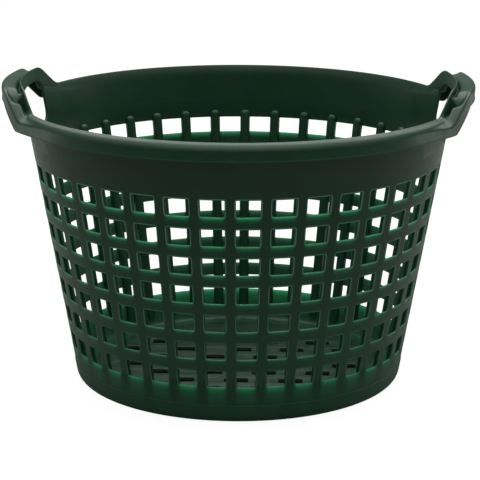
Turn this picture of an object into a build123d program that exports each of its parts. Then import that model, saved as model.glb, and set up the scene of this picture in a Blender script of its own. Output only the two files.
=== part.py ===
"""Round, tapered garden basket with an open lattice wall, a turned-down rim and two raised grips.

Millimetres, +Z up. The origin is the centre of the base on the surface that the basket stands on,
and the two handles lie on the X axis. Round faces are drawn as flats, one to each column of the
lattice, so that every stave lies on a flat of its own.
"""

import os
from math import asin, atan2, ceil, cos, degrees, pi, radians, sin, tan

from build123d import *

# Overall form of the moulding
RIM_HEIGHT = 290.0  # standing surface to the crest of the rim
RIM_RADIUS = 218.0  # outer face of the wall, carried up to the crest
BASE_RADIUS = 167.6  # outer face of the wall, carried down to the standing surface
WALL = 2.6  # wall thickness, measured level

# Lattice of the wall
COLUMNS = 38
ROWS = 7
LOWER_BAND_TOP = 39.3
UPPER_BAND_DEPTH = 56.6  # crest of the rim to the top row of openings
HOOP_HEIGHT = 12.1

# Upright staves
STAVE_WIDTH = 10.2
ROD_DEPTH = 4.0  # the half-round rod on the inner face of each stave stands in by this much
DOME_HEIGHT = 4.0
DOME_TOP_WIDTH = 4.6
DOME_RISE = 7.5  # top of the dome above the top row of openings

# Heel, foot and floor
HEEL_HEIGHT = 20.0
HEEL_STEP = 0.6  # the heel stands proud of the lower band by this much
HEEL_RADIUS = 17.0
HEEL_INNER_RADIUS = 12.0
HEEL_CHORDS = 3
FOOT_WIDTH = 10.0
FOOT_HEIGHT = 3.0
FLOOR_WALL = 3.0
FLOOR_MARGIN = 14.0  # closed edge of the floor outside the outermost slots
SLOT_LENGTH = 25.0
SLOT_WIDTH = 14.0
SLOT_PITCH_X = 56.0
SLOT_PITCH_Y = 26.0

# Rim section, measured from the crest
RIM_LEG = 8.0  # depth of the inner leg, which stands on the upper band
RIM_WIDTH = 9.0  # crest to outer shoulder
RIM_FALL = 9.0  # fall of the rounded top from crest to shoulder
RIM_DROP = 17.0  # crest to the lower edge of the skirt
SKIRT_FLARE = 2.0
CREST_ROUND = 1.6  # fall of the crest's inner shoulder from its top
FLANGE_CHORDS = 6
HANDLE_COLUMNS = 4  # columns of the lattice from the middle of a handle to its end

# Handles, measured up and out from the crest, and along from the middle of the grip
GRIP_LIFT = 22.5  # top of the inner strap, which carries the lean of the wall on upwards
STRAP_WIDTH = 3.2
VALLEY_START = 5.4  # groove between the strap and the bar
VALLEY_END = 7.2
VALLEY_LIFT = 13.0
LEG_VALLEY_LIFT = 3.0
BAR_START = 9.2  # hollow bar outside the groove
BAR_LIFT = 20.5
LEDGE_LIFT = 11.0  # the bar ends in a ledge on each leg
GRIP_WIDTH = 22.0  # crest to the middle of the skirt
BAR_ROUND = 2.4  # width and fall of the bar's outer edge
GRIP_SKIRT_EDGE = 10.5  # lower edge of the skirt at the grip
GRIP_HALF_LENGTH = 61.0
LEDGE_HALF_LENGTH = 70.0
HANDLE_HALF_LENGTH = 90.0  # foot of each leg on the rim
SKIRT_RAMP_HALF_LENGTH = 88.0  # where the lower edge of the skirt starts to climb
SHOULDER_HALF_LENGTH = 118.0  # where the rim starts to widen towards the handle

# Hand openings
HAND_HALF_WIDTH = 57.0
HAND_SILL = 22.5  # closed wall between a hand opening and the top row
HAND_TOP = 10.0  # upper edge of the hand opening, above the crest
HAND_CORNER_RADIUS = 12.0

# Sizes that follow from the ones above
COLUMN_PITCH = 360.0 / COLUMNS
FLAT_SHARE = cos(pi / COLUMNS)  # middle of a flat, as a share of its corners' radius
UPPER_BAND_BOTTOM = RIM_HEIGHT - UPPER_BAND_DEPTH
UPPER_BAND_TOP = RIM_HEIGHT - RIM_LEG
ROW_PITCH = (UPPER_BAND_BOTTOM - LOWER_BAND_TOP + HOOP_HEIGHT) / ROWS
FLOOR_TOP = FOOT_HEIGHT + FLOOR_WALL
WALL_LEAN = degrees(atan2(RIM_RADIUS - BASE_RADIUS, RIM_HEIGHT))
HEEL_TURN = 90 - WALL_LEAN  # how far the heel bends from the foot into the wall
FOOT_RADIUS = BASE_RADIUS + HEEL_STEP - HEEL_RADIUS * tan(radians(HEEL_TURN / 2))


def wall_radius(height):
    """Outer radius of the tapered wall at a height above the standing surface."""
    return BASE_RADIUS + (RIM_RADIUS - BASE_RADIUS) * height / RIM_HEIGHT


def drum(*levels):
    """Solid about Z through levels of (radius, height), with one flat per column and a corner on +X."""
    rings = [Pos(0, 0, height) * RegularPolygon(radius, COLUMNS) for radius, height in levels]
    return loft(rings, ruled=True)


def wall_ring(bottom, top):
    """Ring of the wall between two heights."""
    outer = drum((wall_radius(bottom), bottom), (wall_radius(top), top))
    return outer - drum((wall_radius(bottom) - WALL, bottom), (wall_radius(top) - WALL, top))


def make_floor():
    """Floor plate with staggered rows of drain slots, as far out as whole slots fit."""
    plate = drum((FOOT_RADIUS, FOOT_HEIGHT), (FOOT_RADIUS, FLOOR_TOP))
    slot = Box(SLOT_LENGTH, SLOT_WIDTH, 3 * FLOOR_WALL)
    reach = FOOT_RADIUS - FLOOR_MARGIN
    rows = ceil(reach / SLOT_PITCH_Y)
    columns = ceil(reach / SLOT_PITCH_X) + 1
    slots = []
    for row in range(-rows, rows + 1):
        for column in range(-columns, columns + 1):
            x = (column + 0.5 * (row % 2)) * SLOT_PITCH_X
            y = row * SLOT_PITCH_Y
            corner = Vector(abs(x) + SLOT_LENGTH / 2, abs(y) + SLOT_WIDTH / 2)
            if corner.length < reach:
                slots.append(Pos(x, y, FLOOR_TOP) * slot)
    return plate - slots


def make_foot():
    """Flat ring under the edge of the floor, which the basket stands on."""
    inner = FOOT_RADIUS - FOOT_WIDTH
    return drum((FOOT_RADIUS, 0), (FOOT_RADIUS, FOOT_HEIGHT)) - drum((inner, 0), (inner, FOOT_HEIGHT))


def heel_curve(start_radius, start_height, radius):
    """Levels round a bend that starts level at a point and ends in line with the wall."""
    angles = [radians(HEEL_TURN * step / HEEL_CHORDS) for step in range(HEEL_CHORDS + 1)]
    return [(start_radius + radius * sin(a), start_height + radius * (1 - cos(a))) for a in angles]


def make_heel():
    """Rounded corner between the floor and the wall."""
    corner = wall_radius(FLOOR_TOP) - WALL
    inner_start = corner - HEEL_INNER_RADIUS * tan(radians(HEEL_TURN / 2))
    outer = heel_curve(FOOT_RADIUS, 0, HEEL_RADIUS)
    inner = heel_curve(inner_start, FLOOR_TOP, HEEL_INNER_RADIUS)
    shell = drum(*outer, (wall_radius(HEEL_HEIGHT) + HEEL_STEP, HEEL_HEIGHT))
    hollow = drum(*inner, (wall_radius(HEEL_HEIGHT) - WALL, HEEL_HEIGHT))
    return shell - hollow - drum((FOOT_RADIUS, 0), (FOOT_RADIUS, FLOOR_TOP))


def rod_section(height, width):
    """Half-round section of a rod, drawn in four flats on the inner face of a stave on +X."""
    back = (wall_radius(height) - WALL) * FLAT_SHARE
    depth = ROD_DEPTH * width / STAVE_WIDTH
    turns = [pi / 4 * step for step in range(5)]
    points = [(back - depth * sin(turn), -width / 2 * cos(turn)) for turn in turns]
    return Pos(0, 0, height) * Polygon(*points, align=None)


def make_staves():
    """Upright staves: a domed rod on the inner face of the wall, and the blocks between the hoops."""
    shoulder = UPPER_BAND_BOTTOM + DOME_RISE - DOME_HEIGHT
    levels = [(HEEL_HEIGHT, STAVE_WIDTH), (shoulder, STAVE_WIDTH), (shoulder + DOME_HEIGHT, DOME_TOP_WIDTH)]
    stave = loft([rod_section(height, width) for height, width in levels], ruled=True)
    reach = Pos(RIM_RADIUS / 2, 0, RIM_HEIGHT / 2) * Box(RIM_RADIUS, STAVE_WIDTH, RIM_HEIGHT)
    for row in range(ROWS):
        bottom = LOWER_BAND_TOP + row * ROW_PITCH
        ring = wall_ring(bottom, bottom + ROW_PITCH - HOOP_HEIGHT)
        stave += Rot(0, 0, COLUMN_PITCH / 2) * ring & reach
    return [Rot(0, 0, (column + 0.5) * COLUMN_PITCH) * stave for column in range(COLUMNS)]


def ramp(position, start, end):
    """0 up to start, 1 from end on, and straight between them."""
    return min(max((position - start) / (end - start), 0.0), 1.0)


def eased(share):
    """Share from 0 to 1 that starts and ends level."""
    return share * share * (3 - 2 * share)


def blend(first, second, share):
    """Value that goes from first to second as share goes from 0 to 1."""
    return first + (second - first) * share


def rim_outline(along):
    """Closed section of rim or handle at a distance along from the middle of the grip.

    On the rim it is a rounded, turned-down flange. On a leg it rises to a ledge with a groove behind
    it, and on the grip it is folded into a strap, a groove and a hollow bar.
    """
    raised = ramp(along, HANDLE_HALF_LENGTH, GRIP_HALF_LENGTH)
    stepped = ramp(along, HANDLE_HALF_LENGTH, LEDGE_HALF_LENGTH)
    ended = ramp(along, LEDGE_HALF_LENGTH, GRIP_HALF_LENGTH)
    widened = eased(ramp(along, SHOULDER_HALF_LENGTH, GRIP_HALF_LENGTH))
    climbed = ramp(along, SKIRT_RAMP_HALF_LENGTH, GRIP_HALF_LENGTH)
    half = WALL / 2
    crest_r = RIM_RADIUS - half
    strap_z = RIM_HEIGHT + GRIP_LIFT * raised
    strap_r = wall_radius(strap_z) - half
    strap_foot = wall_radius(RIM_HEIGHT + VALLEY_LIFT - WALL) - crest_r
    edge_out = BAR_ROUND + WALL
    skirt_r = crest_r + blend(RIM_WIDTH + SKIRT_FLARE, GRIP_WIDTH, widened)
    skirt_z = RIM_HEIGHT + blend(-RIM_DROP, GRIP_SKIRT_EDGE, climbed)
    leg_r = wall_radius(UPPER_BAND_TOP)

    def fold(chord, under, out, leg_lift, lift):
        """Point that lies on the rim's rounded flange, on a leg at its lift, and on the grip."""
        turn = radians(90.0 * chord / FLANGE_CHORDS)
        rim_out = (RIM_WIDTH + half - under) * sin(turn)
        rim_up = (RIM_FALL - under) * cos(turn) - RIM_FALL
        up = blend(blend(rim_up, leg_lift, stepped), lift, ended)
        return crest_r + blend(rim_out, out, widened), RIM_HEIGHT + up

    return [
        (leg_r - WALL, UPPER_BAND_TOP),
        (strap_r - half, strap_z - CREST_ROUND),
        (strap_r, strap_z),
        (strap_r + blend(half, STRAP_WIDTH - half, raised), strap_z - CREST_ROUND),
        fold(2, 0, VALLEY_START, LEG_VALLEY_LIFT, VALLEY_LIFT),
        fold(3, 0, VALLEY_END, LEG_VALLEY_LIFT, VALLEY_LIFT),
        fold(4, 0, BAR_START, LEDGE_LIFT, BAR_LIFT),
        fold(5, 0, GRIP_WIDTH + half - BAR_ROUND, LEDGE_LIFT, BAR_LIFT),
        fold(6, 0, GRIP_WIDTH + half, LEDGE_LIFT - BAR_ROUND, BAR_LIFT - BAR_ROUND),
        (skirt_r + half, skirt_z),
        (skirt_r - half, skirt_z),
        fold(6, WALL, GRIP_WIDTH - half, LEDGE_LIFT - edge_out, BAR_LIFT - edge_out),
        fold(4, WALL, BAR_START + WALL, LEDGE_LIFT - WALL, BAR_LIFT - WALL),
        fold(3, WALL, VALLEY_END + WALL, LEG_VALLEY_LIFT - WALL, VALLEY_LIFT - WALL),
        fold(1, WALL, strap_foot, LEG_VALLEY_LIFT - WALL, VALLEY_LIFT - WALL),
        (leg_r, UPPER_BAND_TOP),
    ]


def section_at(angle):
    """Section in the upright plane at an angle from the middle of the grip on +X, drawn to the flats."""
    turn = radians(angle)
    along = RIM_RADIUS * sin(min(abs(turn), pi / 2))
    share = FLAT_SHARE / cos(radians(angle % COLUMN_PITCH - COLUMN_PITCH / 2))
    plane = Plane(origin=(0, 0, 0), x_dir=(cos(turn), sin(turn), 0), z_dir=(sin(turn), -cos(turn), 0))
    return plane * Polygon(*[(share * out, up) for out, up in rim_outline(along)], align=None)


def hand_cutter():
    """Rounded bar along +X that cuts the hand opening through the wall, short of the skirt."""
    depth = UPPER_BAND_DEPTH - HAND_SILL
    window = RectangleRounded(2 * HAND_HALF_WIDTH, depth + HAND_TOP, HAND_CORNER_RADIUS)
    middle = RIM_HEIGHT + (HAND_TOP - depth) / 2
    return Pos(0, 0, middle) * extrude(Plane.YZ * window, RIM_RADIUS + WALL)


def make_handle(hand):
    """Handle on +X: a loft through the changing rim section, opened for the hand."""
    stations = [HANDLE_HALF_LENGTH, LEDGE_HALF_LENGTH, GRIP_HALF_LENGTH]
    side = [HANDLE_COLUMNS * COLUMN_PITCH, (HANDLE_COLUMNS - 1) * COLUMN_PITCH]
    side += [degrees(asin(station / RIM_RADIUS)) for station in stations] + [COLUMN_PITCH]
    angles = side + [0.0] + [-angle for angle in reversed(side)]
    return loft([section_at(angle) for angle in angles], ruled=True) - hand


def make_rim():
    """Run of the rim behind the handles, from the end of one handle to the other."""
    columns = range(HANDLE_COLUMNS, COLUMNS // 2 - HANDLE_COLUMNS + 1)
    return loft([section_at(column * COLUMN_PITCH) for column in columns], ruled=True)


hand = hand_cutter()
half_turn = Rot(0, 0, 180)
rim = make_rim()
handle = make_handle(hand)

nodes = {
    "base_floor": make_floor(),
    "foot_ring": make_foot(),
    "heel_ring": make_heel(),
    "lower_band": wall_ring(HEEL_HEIGHT, LOWER_BAND_TOP),
    "wall_staves": Compound(children=make_staves()),
    "upper_band": wall_ring(UPPER_BAND_BOTTOM, UPPER_BAND_TOP) - hand - half_turn * hand,
    "rim_back": rim,
    "rim_front": half_turn * rim,
    "handle_right": handle,
    "handle_left": half_turn * handle,
}
for row in range(1, ROWS):
    hoop_top = LOWER_BAND_TOP + row * ROW_PITCH
    nodes[f"hoop_{row}"] = wall_ring(hoop_top - HOOP_HEIGHT, hoop_top)

os.makedirs("parts", exist_ok=True)
for name, solid in nodes.items():
    export_step(solid, f"parts/{name}.step")
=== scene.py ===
"""Looks of a round green harvest basket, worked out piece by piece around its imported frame."""

import bmesh
import bpy
import numpy as np
from mathutils import Matrix, Quaternion, Vector


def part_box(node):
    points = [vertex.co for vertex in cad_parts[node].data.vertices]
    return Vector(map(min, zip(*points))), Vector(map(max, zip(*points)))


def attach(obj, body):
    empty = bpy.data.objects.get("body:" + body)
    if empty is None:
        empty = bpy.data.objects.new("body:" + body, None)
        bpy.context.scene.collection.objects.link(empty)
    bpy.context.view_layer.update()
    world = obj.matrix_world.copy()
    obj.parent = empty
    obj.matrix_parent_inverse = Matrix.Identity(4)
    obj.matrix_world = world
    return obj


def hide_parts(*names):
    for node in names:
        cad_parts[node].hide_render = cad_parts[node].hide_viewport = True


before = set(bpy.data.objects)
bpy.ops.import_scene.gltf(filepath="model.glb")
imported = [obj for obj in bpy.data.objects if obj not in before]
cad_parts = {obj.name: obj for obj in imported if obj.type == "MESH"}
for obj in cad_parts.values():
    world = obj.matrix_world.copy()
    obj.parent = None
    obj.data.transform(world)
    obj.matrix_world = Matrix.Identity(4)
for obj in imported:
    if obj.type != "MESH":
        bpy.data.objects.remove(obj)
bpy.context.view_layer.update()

# Floor
# The flat bottom of the basket, moulded in one shot with the wall from dark green polyethylene.
# Cores in the mould leave staggered rows of drain slots open, and the plate is scuffed by its loads.
MM = 0.001
FLOOR_LOW, FLOOR_HIGH = (np.array(corner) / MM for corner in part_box("base_floor"))
FLOOR_RADIUS, FLOOR_TOP = FLOOR_HIGH[0], FLOOR_HIGH[2]
FLOOR_WALL = FLOOR_TOP - FLOOR_LOW[2]
FLOOR_MARGIN = 14.0
FLOOR_EDGE_ROUND = 0.5
FLOOR_SEGMENTS = 216
SLOT_LENGTH, SLOT_WIDTH, SLOT_CORNER = 25.0, 14.0, 2.5
SLOT_PITCH_X, SLOT_PITCH_Y = 56.0, 26.0
SLOTS_EACH_WAY = 8
SLOT_SIDE_STEPS = 8
WELD_DISTANCE = 0.001
SHARP_EDGE = np.radians(50)


def linear(hex_colour):
    """Linear RGBA of an sRGB hex colour, by the sRGB curve."""
    srgb = np.array([int(hex_colour[i:i + 2], 16) for i in (1, 3, 5)]) / 255
    rgb = np.where(srgb <= 0.04045, srgb / 12.92, ((srgb + 0.055) / 1.055) ** 2.4)
    return (*rgb.tolist(), 1.0)


def add_node(tree, kind, inputs=None, **settings):
    """Adds one node with its settings, and links or sets the named inputs."""
    node = tree.nodes.new(kind)
    for name, value in settings.items():
        setattr(node, name, value)
    for name, value in (inputs or {}).items():
        if isinstance(value, bpy.types.NodeSocket):
            tree.links.new(value, node.inputs[name])
        else:
            node.inputs[name].default_value = value
    return node


def moulded_polyethylene(name, deep, worn, rough, scuffed):
    """Polyethylene as it leaves a steel mould: a satin, slightly waxy skin with a faint orange peel.

    Broad cloudy patches come from the pigment, fine pale rubs from use. Where the moulding is thin, which
    the attribute "thin" gives from 0 to 1, light comes through it in a brighter green. A second attribute
    gives a share of paler green painted on as light: painted highlight along the edges of the openings, and
    painted light that brightens the lower wall and the heel.
    """
    lit_green, flash_green = "#7ce0b6", "#84ccaa"
    cloud_mm, rub_mm, peel_mm, sink_mm, relief_mm = 45.0, 9.0, 1.8, 22.0, 0.6
    clouded, peel_share = 0.3, 0.12
    smoothest, roughest = rough - 0.06, rough + 0.1
    material = bpy.data.materials.new(name)
    material.use_nodes = True
    tree = material.node_tree
    tree.nodes.clear()
    place = add_node(tree, "ShaderNodeTexCoord").outputs["Object"]
    cloud = add_node(tree, "ShaderNodeTexNoise", {
        "Vector": place, "Scale": 1 / (cloud_mm * MM), "Detail": 3.0}).outputs["Fac"]
    rub = add_node(tree, "ShaderNodeTexNoise", {
        "Vector": place, "Scale": 1 / (rub_mm * MM), "Detail": 6.0, "Roughness": 0.7}).outputs["Fac"]
    peel = add_node(tree, "ShaderNodeTexNoise", {
        "Vector": place, "Scale": 1 / (peel_mm * MM), "Detail": 1.0}).outputs["Fac"]
    sink = add_node(tree, "ShaderNodeTexNoise", {
        "Vector": place, "Scale": 1 / (sink_mm * MM), "Detail": 0.0}).outputs["Fac"]
    pale = add_node(tree, "ShaderNodeMapRange", {
        "Value": cloud, "From Min": 0.3, "From Max": 0.7, "To Max": clouded}).outputs["Result"]
    rubbed = add_node(tree, "ShaderNodeMapRange", {
        "Value": rub, "From Min": 0.52, "From Max": 0.8, "To Max": scuffed}).outputs["Result"]
    tone = add_node(tree, "ShaderNodeMath", {0: pale, 1: rubbed}, operation="ADD", use_clamp=True)
    skin = add_node(tree, "ShaderNodeMix", {
        "Factor": tone.outputs["Value"], "A": linear(deep), "B": linear(worn)}, data_type="RGBA")
    # A paler green painted on as light where the mesh asks for it: painted highlight on the edges of the
    # openings, and painted light low on the wall and on the heel.
    flash = add_node(tree, "ShaderNodeAttribute", attribute_name="flash").outputs["Fac"]
    skin_with_painted_light = add_node(tree, "ShaderNodeMix", {
        "Factor": flash, "A": skin.outputs["Result"], "B": linear(flash_green)}, data_type="RGBA")
    gloss = add_node(tree, "ShaderNodeMapRange", {
        "Value": rub, "From Min": 0.3, "From Max": 0.75, "To Min": smoothest, "To Max": roughest})
    relief = add_node(tree, "ShaderNodeMath", {0: peel, 1: peel_share, 2: sink}, operation="MULTIPLY_ADD")
    bump = add_node(tree, "ShaderNodeBump", {
        "Height": relief.outputs["Value"], "Strength": 0.35, "Distance": relief_mm * MM}).outputs["Normal"]
    solid = add_node(tree, "ShaderNodeBsdfPrincipled", {
        "Base Color": skin_with_painted_light.outputs["Result"], "Roughness": gloss.outputs["Result"],
        "IOR": 1.51, "Normal": bump})
    glow = add_node(tree, "ShaderNodeBsdfTranslucent", {"Color": linear(lit_green), "Normal": bump})
    thin = add_node(tree, "ShaderNodeAttribute", attribute_name="thin").outputs["Fac"]
    both = add_node(tree, "ShaderNodeMixShader", {
        0: thin, 1: solid.outputs["BSDF"], 2: glow.outputs["BSDF"]})
    add_node(tree, "ShaderNodeOutputMaterial", {"Surface": both.outputs["Shader"]})
    return material


def rounded_side(half, corner, count):
    """One side of a rounded rectangle as places along it and insets from it.

    The side runs between the middles of its two corner arcs, and a sine spaces the points closer
    together towards the arcs.
    """
    straight = half - corner
    run = np.sin(np.linspace(-0.5, 0.5, count, endpoint=False) * np.pi) * (straight + corner * np.pi / 4)
    turn = np.clip(np.abs(run) - straight, 0, None) / corner
    along = np.sign(run) * (np.minimum(np.abs(run), straight) + corner * np.sin(turn))
    return along, corner * (1 - np.cos(turn))


def rounded_loop(half_width, half_height, corner, counts):
    """Rounded rectangle about the origin, anticlockwise from the middle of its lower left corner."""
    wide, sunk = rounded_side(half_width, corner, counts[0])
    tall, drawn = rounded_side(half_height, corner, counts[1])
    across = np.concatenate([wide, half_width - drawn, -wide, drawn - half_width])
    up = np.concatenate([sunk - half_height, tall, half_height - sunk, -tall])
    return across, up


def slotted_plate():
    """Flat outline of the plate, a circle with a rounded slot wherever a whole one fits, made a mesh."""
    flat = bpy.data.curves.new("floor_outline", "CURVE")
    flat.dimensions = "2D"
    flat.fill_mode = "BOTH"
    flat.extrude = (FLOOR_WALL / 2 - FLOOR_EDGE_ROUND) * MM
    flat.bevel_depth = FLOOR_EDGE_ROUND * MM
    flat.bevel_resolution = 1
    flat.offset = -FLOOR_EDGE_ROUND * MM
    turn = np.linspace(0, 2 * np.pi, FLOOR_SEGMENTS, endpoint=False)
    loops = [FLOOR_RADIUS * np.stack([np.cos(turn), np.sin(turn)], axis=-1)]
    steps = (SLOT_SIDE_STEPS, SLOT_SIDE_STEPS)
    slot = np.stack(rounded_loop(SLOT_LENGTH / 2, SLOT_WIDTH / 2, SLOT_CORNER, steps), axis=-1)
    order = np.arange(-SLOTS_EACH_WAY, SLOTS_EACH_WAY + 1)
    row, column = np.meshgrid(order, order, indexing="ij")
    across = (column + 0.5 * (row % 2)) * SLOT_PITCH_X
    middles = np.stack([across, row * SLOT_PITCH_Y], axis=-1).reshape(-1, 2)
    corners = np.abs(middles) + np.array([SLOT_LENGTH, SLOT_WIDTH]) / 2
    fits = np.linalg.norm(corners, axis=1) < FLOOR_RADIUS - FLOOR_MARGIN
    loops += [middle + slot for middle in middles[fits]]
    for loop in loops:
        spline = flat.splines.new("POLY")
        spline.points.add(len(loop) - 1)
        spline.points.foreach_set("co", np.pad(loop * MM, ((0, 0), (0, 2))).ravel())
        spline.use_cyclic_u = True
    carrier = bpy.data.objects.new("floor_outline", flat)
    mesh = bpy.data.meshes.new_from_object(carrier)
    bpy.data.objects.remove(carrier)
    mesh.transform(Matrix.Translation((0, 0, (FLOOR_TOP - FLOOR_WALL / 2) * MM)))
    return mesh


def dress(name, mesh, material, *nodes):
    """Puts a finished mesh in place: its faces outward, smooth but for true edges, riding on the basket."""
    shell = bmesh.new()
    shell.from_mesh(mesh)
    bmesh.ops.remove_doubles(shell, verts=shell.verts, dist=WELD_DISTANCE * MM)
    bmesh.ops.recalc_face_normals(shell, faces=shell.faces)
    shell.to_mesh(mesh)
    shell.free()
    mesh.shade_smooth()
    mesh.set_sharp_from_angle(angle=SHARP_EDGE)
    mesh.materials.clear()
    mesh.materials.append(material)
    piece = bpy.data.objects.new(name, mesh)
    bpy.context.scene.collection.objects.link(piece)
    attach(piece, "root")
    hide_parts(*nodes)


SCUFFED = moulded_polyethylene(
    "polyethylene_moulded_scuffed", deep="#123326", worn="#34523f", rough=0.36, scuffed=0.5)
dress("floor_plate", slotted_plate(), SCUFFED, "base_floor")

# Heel and foot
# The rounded corner under the wall, with the flat ring that the basket stands on, of the same polyethylene.
# It is moulded a little proud of the wall above, which leaves a fine step all round.
RIM_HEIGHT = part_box("rim_front")[1].z / MM
RIM_RADIUS = 218.0
BASE_RADIUS = 167.6
WALL = 2.6
HEEL_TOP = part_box("heel_ring")[1].z / MM
HEEL_STEP = 0.6
HEEL_REACH, HEEL_INNER_REACH, HEEL_EDGE_REACH = 15.5, 11.0, 0.5
# The heel lets a little light through, and all of it gets a share of painted light, a paler green standing in
# for light from the floor.
HEEL_THIN, HEEL_PAINTED_LIGHT = 0.12, 0.07
FOOT_WIDTH = 10.0
FOOT_REACH = 0.6
CRISP_REACH = 0.1
HEEL_SEGMENTS, HEEL_CORNER_STEPS = 288, 9


def wall_radius(height):
    """Outer radius of the wall, a straight taper from the base up to the rim."""
    return BASE_RADIUS + (RIM_RADIUS - BASE_RADIUS) * height / RIM_HEIGHT


def rounded_corners(corners, reach, steps=5, closed=False):
    """Outline through corners (..., count, 2), each replaced by a parabola.

    A parabola starts and ends its reach away from the corner, or just short of half way to the next corner.
    The first and last points of an open outline stay as they are.
    """
    before, after = np.roll(corners, 1, axis=-2), np.roll(corners, -1, axis=-2)
    share = np.linspace(0, 1, steps)[:, None]
    most_of_side = 0.48

    def leave(towards):
        way = towards - corners
        length = np.linalg.norm(way, axis=-1, keepdims=True)
        return corners + way / length * np.minimum(np.asarray(reach)[..., None], most_of_side * length)

    start, end, tip = (part[..., None, :] for part in (leave(before), leave(after), corners))
    arcs = (1 - share) ** 2 * start + 2 * share * (1 - share) * tip + share ** 2 * end
    if not closed:
        arcs[..., 0, :, :] = corners[..., :1, :]
        arcs[..., -1, :, :] = corners[..., -1:, :]
    return arcs.reshape(*corners.shape[:-2], -1, 2)


def around(radius, angle, height):
    """Points in millimetres from cylindrical coordinates about the upright axis."""
    radius, angle, height = np.broadcast_arrays(radius, angle, height)
    return np.stack([radius * np.cos(angle), radius * np.sin(angle), height], axis=-1)


def grid_quads(rows, columns, wrap_rows=False, wrap_columns=False):
    """Quads between neighbours on a grid of points, closed on itself where wrapped."""
    i = np.arange(rows if wrap_rows else rows - 1)[:, None]
    j = np.arange(columns if wrap_columns else columns - 1)[None, :]
    ahead, beside = (i + 1) % rows, (j + 1) % columns
    quad = [i * columns + j, i * columns + beside, ahead * columns + beside, ahead * columns + j]
    return np.stack(np.broadcast_arrays(*quad), axis=-1).reshape(-1, 4)


def mesh_of(name, patches, **marks):
    """Mesh of patches, each a pair of points in millimetres and quads, with named values for every point."""
    counts = np.cumsum([0] + [len(points) for points, _ in patches])
    points = np.concatenate([points for points, _ in patches])
    quads = np.concatenate([quads + first for (_, quads), first in zip(patches, counts)])
    mesh = bpy.data.meshes.new(name)
    mesh.from_pydata(points * MM, [], quads)
    for mark, values in marks.items():
        mesh.attributes.new(mark, "FLOAT", "POINT").data.foreach_set("value", values.astype(np.float32))
    return mesh


def heel_mesh():
    """Closed section of heel and foot, given as corners and their reach, turned about the upright axis."""
    foot_radius, foot_height = FLOOR_RADIUS - FOOT_WIDTH, FLOOR_TOP - FLOOR_WALL
    section = [
        ((foot_radius, 0), FOOT_REACH),
        ((BASE_RADIUS + HEEL_STEP, 0), HEEL_REACH),
        ((wall_radius(HEEL_TOP) + HEEL_STEP, HEEL_TOP), HEEL_EDGE_REACH),
        ((wall_radius(HEEL_TOP) - WALL, HEEL_TOP), CRISP_REACH),
        ((wall_radius(FLOOR_TOP) - WALL, FLOOR_TOP), HEEL_INNER_REACH),
        ((FLOOR_RADIUS, FLOOR_TOP), CRISP_REACH),
        ((FLOOR_RADIUS, foot_height), CRISP_REACH),
        ((foot_radius, foot_height), CRISP_REACH),
    ]
    corners, reach = (np.array(part) for part in zip(*section))
    outline = rounded_corners(corners, reach, HEEL_CORNER_STEPS, closed=True)
    turn = np.linspace(0, 2 * np.pi, HEEL_SEGMENTS, endpoint=False)[:, None]
    points = around(outline[:, 0], turn, outline[:, 1]).reshape(-1, 3)
    # An even share of painted light all round the heel.
    thin, flash = np.full(len(points), HEEL_THIN), np.full(len(points), HEEL_PAINTED_LIGHT)
    quads = grid_quads(HEEL_SEGMENTS, len(outline), wrap_rows=True, wrap_columns=True)
    return mesh_of("heel", [(points, quads)], thin=thin, flash=flash)


SATIN = moulded_polyethylene(
    "polyethylene_moulded_satin", deep="#0c3f27", worn="#235036", rough=0.34, scuffed=0.22)
dress("heel_and_foot", heel_mesh(), SATIN, "foot_ring", "heel_ring")

# Lattice wall
# The tapered wall of the same polyethylene, with upright staves and level hoops that are flush outside.
# Cores in the mould leave its seven rows of openings, and the thin lip below each lets light through.
COLUMNS, ROWS = 38, 7
HALF_PITCH = np.pi / COLUMNS
STAVE_WIDTH = 10.2
LOWER_BAND_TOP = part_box("lower_band")[1].z / MM
FIRST_HOOP = [corner.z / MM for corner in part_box("hoop_1")]
HOOP_HEIGHT = FIRST_HOOP[1] - FIRST_HOOP[0]
ROW_PITCH = FIRST_HOOP[1] - LOWER_BAND_TOP
BOTTOMS = LOWER_BAND_TOP + ROW_PITCH * np.arange(ROWS)
OPENING_HEIGHT = ROW_PITCH - HOOP_HEIGHT
OPENING_CORNER = 1.1
OPENING_ROUND = 0.7
DRAFT_BELOW, DRAFT_ABOVE = 0.3, 0.8
LIP_WALL, LIP_HEIGHT, LIP_FADE = 1.4, 4.0, 1.5
# Light through the wall as shares of the material's thin, and painted highlight as shares of its paler
# painted green, with fades in millimetres
GLOW_FADE, GLOW_SIDE_FADE, GLOW_SIDE_START = 3.5, 1.2, 0.5
LATTICE_THIN, LOWER_THIN, LOWER_FADE = 0.07, 0.66, 4.4
LOW_GLOW, HIGH_GLOW, LOW_PAINTED_HIGHLIGHT = 0.38, 0.7, 0.33
EDGE_THIN, SOFT_EDGE_THIN, EDGE_PAINTED_HIGHLIGHT = 0.7, 0.5, 0.7
# Rings of points on the faces round an opening: the distance beside it and below it, and the share of painted
# highlight there
FACE_RINGS = [(2.2, 4.4, 0.0), (1.7, 2.8, 0.0), (1.2, 1.5, 0.1), (OPENING_ROUND, OPENING_ROUND, 0.75)]
SEAM_HEIGHT, SEAM_STEP, SEAM_SLOPE = 253.0, 0.4, 2.0
LOOP_COUNTS = (10, 4)


def blend(first, second, share):
    """Value that goes from first to second as share goes from 0 to 1."""
    return first + (second - first) * share


def opening_reach(height):
    """Half the angle that an opening takes at a height, between two staves of even width."""
    return HALF_PITCH - np.arcsin(STAVE_WIDTH / 2 / wall_radius(height))


def opening_loop(bottom, side, below, above, corner):
    """Angles and heights round an opening, at set distances outside its sides, bottom and top."""
    half_height = (OPENING_HEIGHT + below + above) / 2
    middle = bottom - below + half_height
    half_width = opening_reach(middle) * wall_radius(middle)
    across, up = rounded_loop(half_width + side, half_height, corner, LOOP_COUNTS)
    return across / half_width * opening_reach(middle + up), middle + up


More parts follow.
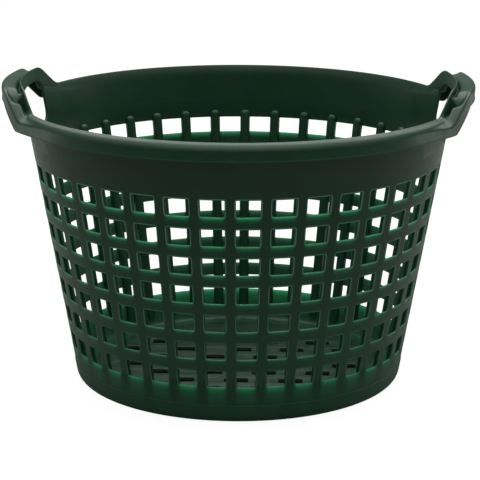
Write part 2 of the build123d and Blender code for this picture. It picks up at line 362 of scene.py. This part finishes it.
def tile_loop(bottom):
    """Angles and heights round the tile of wall that holds one opening, half a hoop above and below it."""
    low, high = bottom - HOOP_HEIGHT / 2, bottom + OPENING_HEIGHT + HOOP_HEIGHT / 2
    wide, tall = (np.linspace(0, 1, count, endpoint=False) for count in LOOP_COUNTS)
    edge, rise = (2 * wide - 1) * HALF_PITCH, low + tall * (high - low)
    angle = np.concatenate([edge, np.full(len(rise), HALF_PITCH), -edge, np.full(len(rise), -HALF_PITCH)])
    height = np.concatenate([np.full(len(edge), low), rise, np.full(len(edge), high), low + high - rise])
    return angle, height


def wall_here(height, bottom):
    """Wall thickness near an opening: full, but thinning to the lip just below the opening's bottom."""
    near = np.where(height < bottom, (bottom - height) / LIP_HEIGHT, (height - bottom) / LIP_FADE)
    return WALL - (WALL - LIP_WALL) * np.clip(1 - near, 0, 1)


def plain_thinness(height):
    """Thinness away from the edges of the openings.

    It fades exponentially from the lowest row to the heel, is even between rows, and is none above them.
    """
    lower = blend(HEEL_THIN, LOWER_THIN, np.exp(-np.clip(BOTTOMS[0] - height, 0, None) / LOWER_FADE))
    lattice = np.where(height < BOTTOMS[0], lower, LATTICE_THIN)
    return np.where(height > BOTTOMS[-1] + OPENING_HEIGHT, 0, lattice)


def painted_heel_light(height):
    """Share of painted light, a paler green, away from the openings, growing evenly from the top row to the
    heel.
    """
    return HEEL_PAINTED_LIGHT * np.clip((BOTTOMS[-1] - height) / (BOTTOMS[-1] - HEEL_TOP), 0, 1)


def thinness(angle, height, bottom, most):
    """How much light the wall lets through: most at an opening's bottom edge, fading below and beside it."""
    below = np.clip(bottom - height, 0, None)
    past_side = (np.abs(angle) - opening_reach(height)) * wall_radius(height)
    beside = np.clip(past_side + GLOW_SIDE_START, 0, None)
    glow = most * np.exp(-below / GLOW_FADE - beside / GLOW_SIDE_FADE)
    return np.maximum(np.where(height < bottom + OPENING_ROUND, glow, 0), plain_thinness(height))


def opening_rings(bottom):
    """Rings of one tile, from its outer border through the rounded edge of the opening to its inner border.

    Each ring is angle, height, depth under the outer face, thinness and painted light. The mould's draft
    makes the opening a little lower on the inner face. Higher rows glow more, and their edges get more
    painted highlight.
    """
    soft = OPENING_ROUND * (1 - np.sqrt(0.5))
    rise = (bottom - BOTTOMS[0]) / (BOTTOMS[-1] - BOTTOMS[0])
    # pale is the share of painted highlight on the outer edge of the opening, more on higher rows.
    lit, pale = blend(LOW_GLOW, HIGH_GLOW, rise ** 2), blend(LOW_PAINTED_HIGHLIGHT, 1, rise)
    plan = [(side, below, 0, 0.0, 0.0, flash) for side, below, flash in FACE_RINGS]
    plan += [
        (soft, soft, 0, soft, SOFT_EDGE_THIN, 1.0),
        (0, 0, 0, OPENING_ROUND, EDGE_THIN, EDGE_PAINTED_HIGHLIGHT),
        (0, 0, 1, -OPENING_ROUND, EDGE_THIN, 0.0),
        (soft, soft, 1, -soft, SOFT_EDGE_THIN, 0.0),
    ]
    plan += [(side, below, 1, 0.0, 0.0, 0.0) for side, below, _ in reversed(FACE_RINGS)]
    border_angle, border_height = tile_loop(bottom)
    nothing = np.zeros_like(border_angle)
    border_thin, border_pale = plain_thinness(border_height), painted_heel_light(border_height)
    rings = [(border_angle, border_height, nothing, border_thin, border_pale)]
    for side, below, through, shift, edge, flash in plan:
        low, high = below - through * DRAFT_BELOW, side - through * DRAFT_ABOVE
        angle, height = opening_loop(bottom, side, low, high, OPENING_CORNER + side)
        depth = through * wall_here(height, bottom) + shift
        thin = np.maximum(lit * edge, thinness(angle, height, bottom, lit))
        rings.append((angle, height, depth, thin, np.maximum(pale * flash, painted_heel_light(height))))
    rings.append((border_angle, border_height, nothing + WALL, border_thin, border_pale))
    return np.array(rings)


def band_patch(levels, count):
    """Plain ring of wall through levels of (height, depth), as a grid round the upright axis."""
    height, depth = np.array(levels).T[..., None]
    turn = np.linspace(0, 2 * np.pi, count, endpoint=False)[None, :] + HALF_PITCH
    points = around(wall_radius(height) - depth, turn, height)
    return points.reshape(-1, 3), grid_quads(len(levels), count, wrap_columns=True)


def lattice_mesh():
    """All tiles of the wall, with the closed bands below and above them and caps on both ends."""
    rings = np.stack([opening_rings(bottom) for bottom in BOTTOMS])
    angle, height, depth, thin, flash = np.moveaxis(rings, 2, 0)
    turn = 2 * HALF_PITCH * np.arange(COLUMNS)[:, None, None, None]
    points = around((wall_radius(height) - depth)[None], angle[None] + turn, height[None])
    ring_count, loop_count = angle.shape[1:]
    tile = grid_quads(ring_count, loop_count, wrap_columns=True)
    first = np.arange(COLUMNS * ROWS) * ring_count * loop_count
    quads = tile[None] + first[:, None, None]
    low, high = BOTTOMS[0] - HOOP_HEIGHT / 2, BOTTOMS[-1] + OPENING_HEIGHT + HOOP_HEIGHT / 2
    thick = WALL + SEAM_STEP
    count = COLUMNS * LOOP_COUNTS[0]
    lower = band_patch([(low, WALL), (HEEL_TOP, WALL), (HEEL_TOP, 0), (low, 0)], count)
    inside = [(SEAM_HEIGHT, thick), (high + SEAM_SLOPE, thick), (high, WALL)]
    upper = band_patch([(high, 0), (SEAM_HEIGHT, 0), *inside], count)
    patches = [(points.reshape(-1, 3), quads.reshape(-1, 4)), lower, upper]
    band_heights = np.concatenate([lower[0][:, 2], upper[0][:, 2]])
    thin = np.concatenate([np.tile(thin.ravel(), COLUMNS), plain_thinness(band_heights)])
    # The plain bands get painted light growing towards the heel, as the tiles do.
    flash = np.concatenate([np.tile(flash.ravel(), COLUMNS), painted_heel_light(band_heights)])
    return mesh_of("lattice", patches, thin=thin, flash=flash)


dress("lattice_wall", lattice_mesh(), SATIN, "lower_band", *[f"hoop_{n}" for n in range(1, ROWS)])

# Stave rods
# Half-round rods on the inner face of the staves, which stiffen the wall from the heel to the upper band.
# They are moulded with the wall from the same polyethylene and end in domes just above the top row.
ROD_HALF_WIDTH = 5.4
ROD_SQUARENESS = 2.5
ROD_DEPTH = 4.0
ROD_SUNK = 0.8
ROD_FOOT_SUNK, ROD_FOOT_BAND = 4.0, 1.0
ROD_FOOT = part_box("wall_staves")[0].z / MM - ROD_FOOT_SUNK
DOME_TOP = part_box("wall_staves")[1].z / MM
DOME_HEIGHT = 4.6
ROD_ARC_STEPS, DOME_STEPS = 14, 6


def rods_mesh():
    """Half of a slightly squared ellipse, carried up the wall's taper.

    At the dome it is drawn in along a quarter of an ellipse that is squared alike.
    """
    climb = np.linspace(0, np.pi / 2, DOME_STEPS)
    dome = DOME_TOP - DOME_HEIGHT + DOME_HEIGHT * np.sin(climb)
    height = np.concatenate([[ROD_FOOT, ROD_FOOT + ROD_FOOT_BAND], dome])[:, None]
    power = 2 / ROD_SQUARENESS
    scale = np.concatenate([[1, 1], np.abs(np.cos(climb)) ** power])[:, None]
    bend = np.linspace(-np.pi / 2, np.pi / 2, ROD_ARC_STEPS)
    arc = np.sign(bend) * np.abs(np.sin(bend)) ** power
    across = np.concatenate([[-1.0], arc, [1.0]]) * ROD_HALF_WIDTH
    inward = np.concatenate([[-ROD_SUNK], np.abs(np.cos(bend)) ** power * ROD_DEPTH, [-ROD_SUNK]])
    radius = wall_radius(height) - WALL - np.where(inward > 0, inward * scale, inward)
    turn = HALF_PITCH * (2 * np.arange(COLUMNS)[:, None, None] + 1)
    points = around(radius, turn, height) + around(across * scale, turn + np.pi / 2, 0 * height)
    rows, columns = radius.shape
    side = grid_quads(rows, columns, wrap_columns=True)
    base = np.arange(columns // 2 - 1)
    cap = np.stack([base, base + 1, columns - 2 - base, columns - 1 - base], axis=-1)
    rod = np.concatenate([side, cap])
    quads = rod[None] + (np.arange(COLUMNS) * rows * columns)[:, None, None]
    return mesh_of("rods", [(points.reshape(-1, 3), quads.reshape(-1, 4))])


dress("stave_rods", rods_mesh(), SATIN, "wall_staves")

# Rim and handles
# The turned-down rim runs round the top and rises into two grips, each a strap, a groove and a hollow bar.
# Below each grip the wall is left open for a hand. It is all one skin of the polyethylene moulding.
RIM_LEG, RIM_WIDTH, RIM_FALL, RIM_DROP, SKIRT_FLARE = 8.0, 9.0, 9.0, 17.0, 2.0
RIM_SHOULDER_IN, RIM_SHOULDER_DROP, RIM_CREST_IN = 2.3, 3.6, 0.3
STRAP_SHOULDER_DROP, STRAP_CREST_IN, STRAP_EDGE_DROP, STRAP_FOOT_GAP = 1.2, 1.6, 0.2, 0.1
GRIP_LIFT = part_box("handle_right")[1].z / MM - RIM_HEIGHT
GRIP_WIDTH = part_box("handle_right")[1].x / MM - RIM_RADIUS
GRIP_HALF_LENGTH = 61.0
VALLEY_START, VALLEY_END, VALLEY_LIFT = 4.4, 6.4, 14.2
LEG_VALLEY_LIFT, LEG_VALLEY_LEAD = 0.0, 1.45
BAR_START, BAR_DIP, BAR_LIFT, BAR_ROUND, LEDGE_LIFT = 8.4, 14.5, 20.8, 2.4, 8.6
BAR_START_FALL, BAR_DIP_FALL, BAR_EDGE_FALL = 2.2, 0.6, 1.2
NOSE_START, NOSE_END = 46.0, 64.0
GRIP_SKIRT_EDGE, SKIRT_LIP, SKIRT_LIP_HEIGHT = 7.0, 0.7, 1.5
# Ramps along the rim, by distance from a handle's middle: start, end, and the rounding of the bend at each
RAISE_RAMP = (90.0, GRIP_HALF_LENGTH, 5.0, 9.0)
WIDEN_RAMP = (118.0, GRIP_HALF_LENGTH, 14.0, 8.0)
SKIRT_RAMP = (85.0, 58.0, 3.0, 3.0)
VALLEY_RAMP = (64.0, 60.0, 1.0, 1.0)
HAND_HALF_WIDTH, HAND_CORNER = 57.0, 12.0
HAND_LOW, HAND_HIGH = 255.9, RIM_HEIGHT + 10.0
HAND_ROUND, HAND_BORDER, HAND_TOP_CLEAR = 0.7, 0.2, 0.4
LEG_START_DEGREES, LEG_END_DEGREES = 13, 30
GRIP_STEPS, LEG_STEPS, RIM_STEPS = 14, 68, 48
HAND_TILE = np.radians(LEG_END_DEGREES)
ANGLE_TOLERANCE = 1e-6
SIDE_ROWS = 8


def soft_ramp(along, start, end, soft_start, soft_end):
    """0 beyond start and 1 within end, straight between them, with a parabola rounding each bend."""
    def bent(run, soft):
        return np.where(run < -soft, 0, np.where(run > soft, run, (run + soft) ** 2 / (4 * soft)))
    return (bent(start - along, soft_start) - bent(end - along, soft_end)) / (start - end)


def rim_angles():
    """Angles round the rim, close together along the legs of the handles and wider elsewhere."""
    quarter = np.radians(np.concatenate([
        np.linspace(0, LEG_START_DEGREES, GRIP_STEPS, endpoint=False),
        np.linspace(LEG_START_DEGREES, LEG_END_DEGREES, LEG_STEPS, endpoint=False),
        np.linspace(LEG_END_DEGREES, 90, RIM_STEPS, endpoint=False),
    ]))
    back = np.pi - np.append(quarter, np.pi / 2)[:0:-1]
    half = np.concatenate([quarter, back])
    return np.concatenate([half, half + np.pi])


def along_rim(angle):
    """Distance along from the middle of the nearer handle."""
    return RIM_RADIUS * np.abs(np.sin(angle))


def leg_top(angle):
    """Height where the plain wall ends and the folded section of rim or grip starts."""
    closed = soft_ramp(along_rim(angle), *VALLEY_RAMP)
    return RIM_HEIGHT + blend(-RIM_LEG, HAND_HIGH - RIM_HEIGHT + HAND_ROUND + HAND_TOP_CLEAR, closed)


def rim_sections(angle):
    """Folded section of rim or grip at each angle, from the inner leg over strap, groove, bar and skirt.

    On the rim it is a quarter ellipse turned down into the skirt. Each corner of the fold goes from its
    place on that ellipse, in degrees, to its place on the grip, and is rounded by its reach. The bar ends
    in a round nose above a ledge.
    """
    along = along_rim(angle)
    raised = soft_ramp(along, *RAISE_RAMP)
    closed = soft_ramp(along, *VALLEY_RAMP)
    widened = soft_ramp(along, *WIDEN_RAMP)
    climbed = soft_ramp(along, *SKIRT_RAMP)
    half = WALL / 2
    crest = RIM_RADIUS - half
    over = np.clip((along - NOSE_START) / (NOSE_END - NOSE_START), 0, 1)
    nose = LEDGE_LIFT + (BAR_LIFT - LEDGE_LIFT) * (1 - over ** 2)

    def flange(degrees, under):
        """Place on the rim's quarter ellipse, out from the crest and up from it."""
        turn = np.radians(degrees)
        return (RIM_WIDTH + half - under) * np.sin(turn), (RIM_FALL - under) * np.cos(turn) - RIM_FALL

    def edge(degrees, under, out, fall):
        """Corner that climbs the leg in a straight line up to the bar."""
        rim_out, rim_up = flange(degrees, under)
        return crest + blend(rim_out, out, widened), RIM_HEIGHT + blend(rim_up, BAR_LIFT - fall, raised)

    def lump(degrees, under, out, fall):
        """Corner that climbs the leg as far as the ledge, and stands up in the bar's round nose behind it."""
        radius, height = edge(degrees, under, out, 0)
        ledge = np.minimum(height, RIM_HEIGHT + LEDGE_LIFT)
        return radius, np.where(over < 1, RIM_HEIGHT + nose, ledge) - fall * raised

    def valley(degrees, under, out):
        """Corner of the groove, which is deep on the leg and closes in at the grip."""
        rim_out, rim_up = flange(degrees, under)
        deep = blend(rim_up, LEG_VALLEY_LIFT - under, np.minimum(raised * LEG_VALLEY_LEAD, 1))
        return crest + blend(rim_out, out, raised), RIM_HEIGHT + blend(deep, VALLEY_LIFT - under, closed)

    strap_z = RIM_HEIGHT + GRIP_LIFT * raised
    strap_r = wall_radius(strap_z)
    strap_foot = wall_radius(RIM_HEIGHT + VALLEY_LIFT - WALL) - crest + STRAP_FOOT_GAP
    shoulder_r = strap_r - blend(RIM_SHOULDER_IN, WALL, raised)
    shoulder_z = strap_z - blend(RIM_SHOULDER_DROP, STRAP_SHOULDER_DROP, raised)
    skirt_r = crest + blend(RIM_WIDTH + SKIRT_FLARE, GRIP_WIDTH, widened)
    skirt_z = RIM_HEIGHT + blend(-RIM_DROP, GRIP_SKIRT_EDGE, climbed)
    top = leg_top(angle)
    fold = [
        ((wall_radius(top) - WALL, top), CRISP_REACH),
        ((shoulder_r, shoulder_z), 4.0),
        ((strap_r - blend(RIM_CREST_IN, STRAP_CREST_IN, raised), strap_z), 1.8),
        ((strap_r, strap_z - STRAP_EDGE_DROP), 1.4),
        (valley(30, 0, VALLEY_START), 1.6),
        (valley(45, 0, VALLEY_END), 1.2),
        (lump(58, 0, BAR_START, BAR_START_FALL), 3.0),
        (lump(68, 0, BAR_DIP, BAR_DIP_FALL), 4.0),
        (edge(78, 0, GRIP_WIDTH + half - BAR_ROUND, 0), 2.6),
        (edge(90, 0, GRIP_WIDTH + half, BAR_EDGE_FALL), 3.0),
        ((skirt_r + half - SKIRT_LIP, skirt_z + SKIRT_LIP_HEIGHT), 1.0),
        ((skirt_r + half, skirt_z), 0.8),
        ((skirt_r - half, skirt_z), 0.8),
        (edge(90, WALL, GRIP_WIDTH - half, BAR_EDGE_FALL + WALL), 2.0),
        (lump(60, WALL, BAR_START + WALL, BAR_START_FALL + WALL), 2.0),
        (valley(45, WALL, VALLEY_END + WALL), 2.0),
        (valley(12, WALL, strap_foot), 0.3),
        ((wall_radius(top), top), CRISP_REACH),
    ]
    corners = np.stack([np.stack(np.broadcast_arrays(*corner), axis=-1) for corner, _ in fold], axis=1)
    return rounded_corners(corners, np.array([reach for _, reach in fold]))


def hand_loop(angles, clear):
    """Angles and heights round a hand opening, at a distance outside its edge.

    Along the straight top and bottom each point keeps its section's angle. The sections beyond them
    are spread over the corner arcs, and the rows over the straight sides.
    """
    along = RIM_RADIUS * np.sin(angles)
    straight = HAND_HALF_WIDTH - HAND_CORNER
    corner = HAND_CORNER + clear
    low, high = HAND_LOW - clear, HAND_HIGH + clear
    beyond = np.abs(along) > straight
    order = np.abs(np.arange(len(angles)) - (len(angles) - 1) / 2)
    first = order[beyond].min() - 1
    turn = np.clip((order - first) / (order.max() - first), 0, 1) * np.pi / 2
    across = np.where(beyond, np.sign(along) * (straight + corner * np.sin(turn)), along)
    sunk = np.where(beyond, corner * (1 - np.cos(turn)), 0)
    rise = np.linspace(low + corner, high - corner, SIDE_ROWS, endpoint=False)
    edge = np.full(SIDE_ROWS, straight + corner)
    across = np.concatenate([across[:-1], edge, across[:0:-1], -edge])
    height = np.concatenate([low + sunk[:-1], rise, high - sunk[:0:-1], HAND_LOW + HAND_HIGH - rise])
    return np.arcsin(across / RIM_RADIUS), height


def hand_patch(angles):
    """Wall round the hand opening at +X, from its outer border through the edge to its inner border."""
    side = np.linspace(SEAM_HEIGHT, leg_top(angles[-1]), SIDE_ROWS + 1)
    last, first = np.full(SIDE_ROWS, angles[-1]), np.full(SIDE_ROWS, angles[0])
    wide = np.concatenate([angles[:-1], last, angles[:0:-1], first])
    base = np.full(len(angles) - 1, SEAM_HEIGHT)
    tall = np.concatenate([base, side[:-1], leg_top(angles[:0:-1]), side[:0:-1]])
    soft = HAND_ROUND * (1 - np.sqrt(0.5))
    border = HAND_ROUND + HAND_BORDER
    plan = [
        (border, 0), (HAND_ROUND, 0), (soft, soft), (0, HAND_ROUND),
        (0, WALL - HAND_ROUND), (soft, WALL - soft), (HAND_ROUND, WALL), (border, WALL),
    ]
    rings = [around(wall_radius(tall), wide, tall)]
    for clear, depth in plan:
        angle, height = hand_loop(angles, clear)
        rings.append(around(wall_radius(height) - depth, angle, height))
    rings.append(around(wall_radius(tall) - WALL, wide, tall))
    points = np.stack(rings)
    return points.reshape(-1, 3), grid_quads(*points.shape[:2], wrap_columns=True)


def rim_mesh():
    """The folded sections carried round the rim, on the wall below them with its two hand openings."""
    angles = rim_angles()
    sections = rim_sections(angles)
    folded = around(sections[..., 0], angles[:, None], sections[..., 1])
    patches = [(folded.reshape(-1, 3), grid_quads(*folded.shape[:2], wrap_rows=True))]
    cap = around(wall_radius(SEAM_HEIGHT) - np.array([0, WALL]), angles[:, None], SEAM_HEIGHT)
    patches.append((cap.reshape(-1, 3), grid_quads(len(angles), 2, wrap_rows=True)))
    signed = (angles + np.pi) % (2 * np.pi) - np.pi
    right = np.sort(signed[np.abs(signed) <= HAND_TILE + ANGLE_TOLERANCE])
    hand = hand_patch(right)
    half_turn = np.array([-1, -1, 1])
    patches += [hand, (hand[0] * half_turn, hand[1])]
    rows = np.linspace(0, 1, SIDE_ROWS + 1)
    for centre in (np.pi / 2, 3 * np.pi / 2):
        run = angles[np.abs(angles - centre) <= np.pi / 2 - HAND_TILE + ANGLE_TOLERANCE][:, None]
        height = blend(SEAM_HEIGHT, leg_top(run), rows)
        for depth in (0, WALL):
            wall = around(wall_radius(height) - depth, run, height)
            patches.append((wall.reshape(-1, 3), grid_quads(*wall.shape[:2])))
    return mesh_of("rim", patches)


dress("rim_and_handles", rim_mesh(), SATIN,
      "upper_band", "rim_front", "rim_back", "handle_left", "handle_right")

# Studio
# A pale floor under the basket, soft light from above and behind, and the camera of the photograph.
# The surroundings are white to the eye, and dimmer on the camera's side in what they light.
STUDIO_SIZE = 40.0
STUDIO_WHITE, STUDIO_WHITE_SHARE = 1.06, 0.9
SHADOW_RADIUS, SHADOW_END = 150.0 * MM, 158.0 * MM
LIGHT_AHEAD = 0.06
LIGHT_GROWTH = (("X", 4.0, 0.22), ("Z", 3.0, 1.5))
LIGHT_AIM = Vector((0.0, 0.0, 0.2))
VIEW_TARGET = Vector((1.81, 0.05, 141.78)) * MM
VIEW_DISTANCE = 2005.0 * MM
VIEW_TURN, VIEW_TILT, VIEW_ROLL = np.radians((2.04, 14.575, 0.12))
VIEW_LENS, VIEW_END = 144.5, 100.0


def studio_floor():
    """Painted white board, almost white to the eye with a faint shadow, in full shadow under the basket."""
    board = bpy.data.materials.new("studio_board_matt_white")
    board.use_nodes = True
    tree = board.node_tree
    tree.nodes.clear()
    seen = add_node(tree, "ShaderNodeLightPath").outputs["Is Camera Ray"]
    tone = add_node(tree, "ShaderNodeMix", {
        "Factor": seen, "A": linear("#8a8a88"), "B": linear("#f4f4f2")}, data_type="RGBA")
    paint = add_node(tree, "ShaderNodeBsdfDiffuse", {"Color": tone.outputs["Result"]})
    white = add_node(tree, "ShaderNodeEmission", {"Color": linear("#ffffff"), "Strength": STUDIO_WHITE})
    spot = add_node(tree, "ShaderNodeTexCoord").outputs["Object"]
    out = add_node(tree, "ShaderNodeVectorMath", {0: spot}, operation="LENGTH").outputs["Value"]
    open_floor = add_node(tree, "ShaderNodeMapRange", {
        "Value": out, "From Min": SHADOW_RADIUS, "From Max": SHADOW_END,
        "To Min": 0.0, "To Max": STUDIO_WHITE_SHARE}).outputs["Result"]
    shown = add_node(tree, "ShaderNodeMath", {0: seen, 1: open_floor}, operation="MULTIPLY")
    both = add_node(tree, "ShaderNodeMixShader", {
        0: shown.outputs["Value"], 1: paint.outputs["BSDF"], 2: white.outputs["Emission"]})
    add_node(tree, "ShaderNodeOutputMaterial", {"Surface": both.outputs["Shader"]})
    side = STUDIO_SIZE / 2
    corners = [(-side, -side, 0), (side, -side, 0), (side, side, 0), (-side, side, 0)]
    mesh = bpy.data.meshes.new("studio_floor")
    mesh.from_pydata(corners, [], [(0, 1, 2, 3)])
    mesh.materials.append(board)
    floor = bpy.data.objects.new("studio_floor", mesh)
    bpy.context.scene.collection.objects.link(floor)


def surroundings():
    """White to the camera. As light it is dim ahead, and grows with powers of the way sideways and up."""
    world = bpy.data.worlds.new("white_studio")
    world.use_nodes = True
    tree = world.node_tree
    tree.nodes.clear()
    way = add_node(tree, "ShaderNodeTexCoord").outputs["Generated"]
    part = add_node(tree, "ShaderNodeSeparateXYZ", {"Vector": way}).outputs
    level = LIGHT_AHEAD
    for axis, power, gain in LIGHT_GROWTH:
        grown = add_node(tree, "ShaderNodeMath", {0: part[axis], 1: power}, operation="POWER")
        added = add_node(tree, "ShaderNodeMath", {
            0: grown.outputs["Value"], 1: gain, 2: level}, operation="MULTIPLY_ADD")
        level = added.outputs["Value"]
    seen = add_node(tree, "ShaderNodeLightPath").outputs["Is Camera Ray"]
    shown = add_node(tree, "ShaderNodeMath", {0: level, 1: seen}, operation="MAXIMUM")
    sky = add_node(tree, "ShaderNodeBackground", {
        "Color": linear("#ffffff"), "Strength": shown.outputs["Value"]})
    add_node(tree, "ShaderNodeOutputWorld", {"Surface": sky.outputs["Background"]})
    bpy.context.scene.world = world


def softbox(name, place, width, height, power):
    """Area light of a width and height at a place in metres, turned to the middle of the basket."""
    lamp = bpy.data.lights.new(name, "AREA")
    lamp.shape = "RECTANGLE"
    lamp.size, lamp.size_y = width, height
    lamp.energy = power
    box = bpy.data.objects.new(name, lamp)
    box.location = place
    box.rotation_euler = (LIGHT_AIM - Vector(place)).to_track_quat("-Z", "Y").to_euler()
    box.visible_camera = False
    bpy.context.scene.collection.objects.link(box)
    return box


def photograph_camera():
    """Long lens, tilted down a little and turned slightly to the right of the front."""
    lens = bpy.data.cameras.new("camera")
    lens.lens = VIEW_LENS
    lens.clip_end = VIEW_END
    camera = bpy.data.objects.new("camera", lens)
    level = np.cos(VIEW_TILT)
    back = Vector((np.sin(VIEW_TURN) * level, -np.cos(VIEW_TURN) * level, np.sin(VIEW_TILT)))
    camera.location = VIEW_TARGET + back * VIEW_DISTANCE
    upright = (-back).to_track_quat("-Z", "Y")
    camera.rotation_euler = (upright @ Quaternion((0, 0, 1), VIEW_ROLL)).to_euler()
    bpy.context.scene.collection.objects.link(camera)
    bpy.context.scene.camera = camera


studio_floor()
surroundings()
softbox("softbox_behind", (0.1, 0.95, 1.6), width=2.6, height=1.5, power=20.0)
backdrop = softbox("backdrop_light", (0.0, 1.3, 0.26), width=2.0, height=0.5, power=15.0)
backdrop.visible_glossy = False
softbox("softbox_left", (-1.5, 0.7, 0.25), width=1.2, height=0.45, power=1.5)
softbox("softbox_right", (1.5, 0.7, 0.25), width=1.2, height=0.45, power=2.2)
photograph_camera()
bpy.context.scene.view_settings.view_transform = "Standard"
